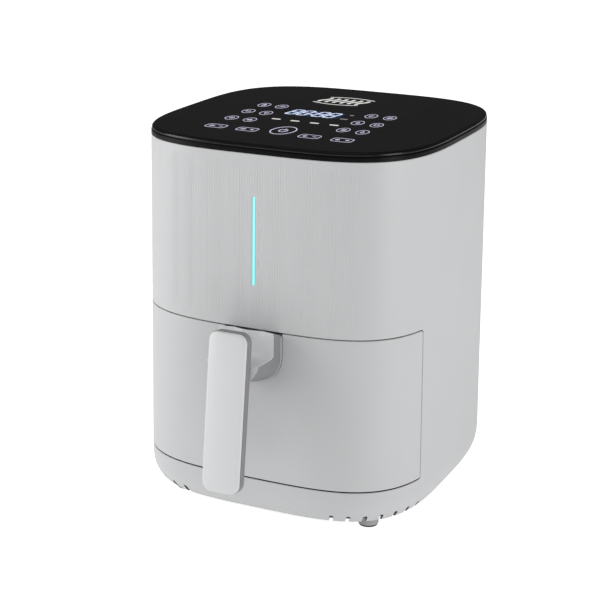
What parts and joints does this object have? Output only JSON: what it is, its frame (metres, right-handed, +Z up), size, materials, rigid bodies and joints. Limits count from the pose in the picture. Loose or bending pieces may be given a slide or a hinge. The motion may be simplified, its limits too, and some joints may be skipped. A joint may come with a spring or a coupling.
{
  "type": "air fryer",
  "caption": "Upright square-rounded drawer air fryer with a touch panel on top, a front light strip, a pull-out pot with a bar grip, a lift-out crisper plate and a hot air fan.",
  "frame": {"origin": "centre of the overall plan box, on the plane of the feet", "axes": "+Z up, +X to the right as seen from the front, the drawer opens towards -Y"},
  "size_m": [0.2666, 0.3451, 0.333],
  "materials": {
    "housing_plastic": "fine satin moulding",
    "handle_plastic": "soft gloss",
    "grip_back_plastic": "satin",
    "black_gloss": "gloss",
    "strip_diffuser": "lit diffuser",
    "dark_plastic": "moulded",
    "foot_rubber": "matt",
    "circuit_board": "solder mask",
    "display_glass": "gloss",
    "sheet_steel": "rolled",
    "dark_steel": "heat tinted",
    "bright_steel": "ground",
    "spring_brass": "bright",
    "bearing_bronze": "sintered",
    "motor_paint": "satin",
    "nonstick_coating": "non-stick coating",
    "bumper_silicone": "silicone",
    "phenolic": "moulded"
  },
  "bodies": {
    "housing": {"outer_shell": "housing_plastic", "bottom_cover": "dark_plastic", "feet": "foot_rubber", "base_screws": "dark_steel", "chassis_ring": "dark_plastic", "top_trim_ring": "black_gloss", "top_panel": "black_gloss", "light_strip": "strip_diffuser", "led_board": "circuit_board", "board_tray": "dark_plastic", "control_board": "circuit_board", "display_module": "display_glass", "touch_springs": "spring_brass", "power_board": "circuit_board", "chamber_liner": "sheet_steel", "slide_rails": "dark_plastic", "heat_reflector": "sheet_steel", "heating_element": "dark_steel", "element_guard": "bright_steel", "temperature_probe": "bright_steel", "thermal_fuse": "phenolic", "motor_plate": "sheet_steel", "plate_standoffs": "sheet_steel", "fan_motor": "motor_paint", "motor_bushes": "bearing_bronze", "motor_screws": "dark_steel", "air_duct": "dark_plastic", "rear_outlet_grille": "housing_plastic", "grille_screws": "dark_steel", "inlet_bush": "dark_plastic", "drawer_switch": "dark_plastic"},
    "fan": {"fan_shaft": "bright_steel", "hot_air_fan": "sheet_steel", "cooling_fan": "dark_plastic", "fan_nut": "bright_steel"},
    "drawer": {"drawer_front": "housing_plastic", "drawer_inner_front": "grip_back_plastic", "front_screws": "dark_steel", "pot": "nonstick_coating", "handle_neck": "housing_plastic", "handle_body": "grip_back_plastic", "handle_cover": "handle_plastic", "handle_screws": "dark_steel"},
    "tray": {"crisper_plate": "nonstick_coating", "tray_bumpers": "bumper_silicone"}
  },
  "joints": [
    {"name": "drawer_slide", "type": "slide", "parent": "housing", "child": "drawer", "axis": [0, -1, 0], "range_m": [0, 0.165]},
    {"name": "tray_lift", "type": "slide", "parent": "drawer", "child": "tray", "axis": [0, 0, 1], "range_m": [0, 0.1]},
    {"name": "fan_spin", "type": "hinge", "parent": "housing", "child": "fan", "pos_m": [0, 0.025, 0.2], "axis": [0, 0, 1], "continuous": true}
  ]
}
